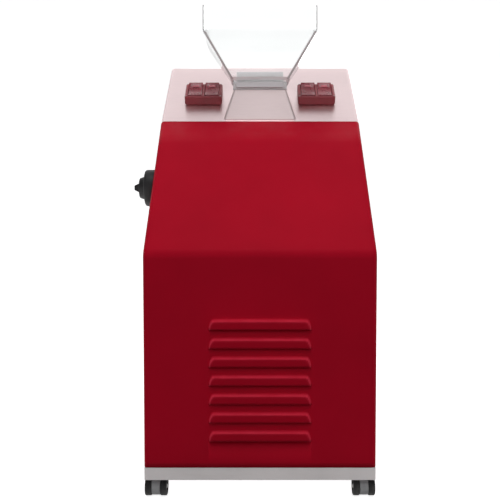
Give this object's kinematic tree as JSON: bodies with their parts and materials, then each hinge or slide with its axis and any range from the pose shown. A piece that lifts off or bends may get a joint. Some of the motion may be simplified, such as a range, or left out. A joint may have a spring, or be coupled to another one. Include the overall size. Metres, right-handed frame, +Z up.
{
  "type": "parts washer",
  "caption": "Hopper-fed parts washer cabinet on castors: sloping front with louvres, steel deck with rocker switches, clear hopper, side rotary switch, basket drawer behind.",
  "frame": {"origin": "floor under the middle of the whole object's bounding box", "axes": "+Z up, -Y towards the louvred front, +X towards the plain side with no switch"},
  "size_m": [0.55, 0.6165, 1.12],
  "materials": {
    "red_paint": "semi-gloss powder coat",
    "brushed_steel": "fine brushed stainless",
    "grey_paint": "satin grey paint",
    "black_plastic": "fine moulded texture",
    "switch_housing": "dark moulded",
    "switch_red": "translucent red",
    "clear_plastic": "clear, lightly scratched",
    "castor_grey": "moulded grey",
    "black_rubber": "worn tread",
    "motor_paint": "hammered enamel",
    "hose_rubber": "smooth hose",
    "brass": "machined"
  },
  "bodies": {
    "cabinet": {"base_frame": "grey_paint", "castor_front_left_plate": "brushed_steel", "castor_front_right_plate": "brushed_steel", "castor_rear_left_plate": "brushed_steel", "castor_rear_right_plate": "brushed_steel", "deck_panel": "brushed_steel", "delivery_hose": "hose_rubber", "door_hinge_lower": "grey_paint", "door_hinge_upper": "grey_paint", "drain_valve": "brass", "feed_chute": "brushed_steel", "filter_bowl": "clear_plastic", "filter_cartridge": "brushed_steel", "filter_head": "black_plastic", "front_panel": "red_paint", "gate_housing": "grey_paint", "hopper_boot": "brushed_steel", "hopper_frame": "grey_paint", "hopper_shell": "clear_plastic", "power_inlet": "black_plastic", "pump_bracket": "grey_paint", "pump_housing": "castor_grey", "pump_motor": "motor_paint", "rack_left": "brushed_steel", "rack_right": "brushed_steel", "rear_panel": "red_paint", "rotary_switch_body": "black_plastic", "side_frame_left": "grey_paint", "side_frame_right": "grey_paint", "side_panel_left": "red_paint", "side_panel_right": "red_paint", "splash_hood": "brushed_steel", "spray_bar": "brushed_steel", "suction_hose": "hose_rubber", "switch_base": "black_plastic", "switch_box_left": "switch_housing", "switch_box_right": "switch_housing", "tank_heater": "brushed_steel", "wash_tank": "brushed_steel"},
    "service_door": {"service_door": "red_paint"},
    "door_latch": {"door_latch": "black_plastic"},
    "drawer": {"drawer_front": "red_paint", "drawer_handle": "brushed_steel", "wash_basket": "brushed_steel"},
    "gate_blade": {"gate_blade": "brushed_steel"},
    "rotary_knob": {"rotary_knob": "black_plastic"},
    "drain_lever": {"drain_lever": "red_paint"},
    "pump_rotor": {"pump_rotor": "brass"},
    "rocker_left_inner": {"rocker_left_inner": "switch_red"},
    "rocker_left_outer": {"rocker_left_outer": "switch_red"},
    "rocker_right_inner": {"rocker_right_inner": "switch_red"},
    "rocker_right_outer": {"rocker_right_outer": "switch_red"},
    "castor_front_left_fork": {"castor_front_left_fork": "castor_grey"},
    "castor_front_left_wheels": {"castor_front_left_wheels": "black_rubber"},
    "castor_front_right_fork": {"castor_front_right_fork": "castor_grey"},
    "castor_front_right_wheels": {"castor_front_right_wheels": "black_rubber"},
    "castor_rear_left_fork": {"castor_rear_left_fork": "castor_grey"},
    "castor_rear_left_wheels": {"castor_rear_left_wheels": "black_rubber"},
    "castor_rear_right_fork": {"castor_rear_right_fork": "castor_grey"},
    "castor_rear_right_wheels": {"castor_rear_right_wheels": "black_rubber"}
  },
  "joints": [
    {"name": "door_swing", "type": "hinge", "parent": "cabinet", "child": "service_door", "pos_m": [0.216, 0.266, 0.27], "axis": [0, 0, -1], "range_deg": [0, 110]},
    {"name": "latch_turn", "type": "hinge", "parent": "service_door", "child": "door_latch", "pos_m": [-0.135, 0.266, 0.27], "axis": [0, 1, 0], "range_deg": [-90, 0]},
    {"name": "drawer_slide", "type": "slide", "parent": "cabinet", "child": "drawer", "axis": [0, 1, 0], "range_m": [0, 0.34]},
    {"name": "gate_slide", "type": "slide", "parent": "cabinet", "child": "gate_blade", "axis": [0, -1, 0], "range_m": [0, 0.07]},
    {"name": "knob_turn", "type": "hinge", "parent": "cabinet", "child": "rotary_knob", "pos_m": [-0.258, -0.0804, 0.677], "axis": [-1, 0, 0], "range_deg": [0, 90]},
    {"name": "drain_turn", "type": "hinge", "parent": "cabinet", "child": "drain_lever", "pos_m": [0.165, 0.1706, 0.244], "axis": [0, 0, 1], "range_deg": [-90, 0]},
    {"name": "rotor_spin", "type": "hinge", "parent": "cabinet", "child": "pump_rotor", "pos_m": [-0.025, -0.0004, 0.15], "axis": [1, 0, 0], "continuous": true},
    {"name": "rocker_left_inner_press", "type": "hinge", "parent": "cabinet", "child": "rocker_left_inner", "pos_m": [-0.1005, 0.08132, 0.9365], "axis": [1, 0, 0], "range_deg": [-16, 0]},
    {"name": "rocker_left_outer_press", "type": "hinge", "parent": "cabinet", "child": "rocker_left_outer", "pos_m": [-0.1435, 0.08132, 0.9365], "axis": [1, 0, 0], "range_deg": [-16, 0]},
    {"name": "rocker_right_inner_press", "type": "hinge", "parent": "cabinet", "child": "rocker_right_inner", "pos_m": [0.1505, 0.08132, 0.9365], "axis": [1, 0, 0], "range_deg": [-16, 0]},
    {"name": "rocker_right_outer_press", "type": "hinge", "parent": "cabinet", "child": "rocker_right_outer", "pos_m": [0.1935, 0.08132, 0.9365], "axis": [1, 0, 0], "range_deg": [-16, 0]},
    {"name": "castor_front_left_swivel", "type": "hinge", "parent": "cabinet", "child": "castor_front_left_fork", "pos_m": [-0.201, -0.2629, 0.045], "axis": [0, 0, 1], "continuous": true},
    {"name": "castor_front_left_roll", "type": "hinge", "parent": "castor_front_left_fork", "child": "castor_front_left_wheels", "pos_m": [-0.201, -0.2749, 0.02], "axis": [1, 0, 0], "continuous": true},
    {"name": "castor_front_right_swivel", "type": "hinge", "parent": "cabinet", "child": "castor_front_right_fork", "pos_m": [0.251, -0.2629, 0.045], "axis": [0, 0, 1], "continuous": true},
    {"name": "castor_front_right_roll", "type": "hinge", "parent": "castor_front_right_fork", "child": "castor_front_right_wheels", "pos_m": [0.251, -0.2749, 0.02], "axis": [1, 0, 0], "continuous": true},
    {"name": "castor_rear_left_swivel", "type": "hinge", "parent": "cabinet", "child": "castor_rear_left_fork", "pos_m": [-0.201, 0.2221, 0.045], "axis": [0, 0, 1], "continuous": true},
    {"name": "castor_rear_left_roll", "type": "hinge", "parent": "castor_rear_left_fork", "child": "castor_rear_left_wheels", "pos_m": [-0.201, 0.2341, 0.02], "axis": [1, 0, 0], "continuous": true},
    {"name": "castor_rear_right_swivel", "type": "hinge", "parent": "cabinet", "child": "castor_rear_right_fork", "pos_m": [0.251, 0.2221, 0.045], "axis": [0, 0, 1], "continuous": true},
    {"name": "castor_rear_right_roll", "type": "hinge", "parent": "castor_rear_right_fork", "child": "castor_rear_right_wheels", "pos_m": [0.251, 0.2341, 0.02], "axis": [1, 0, 0], "continuous": true}
  ]
}
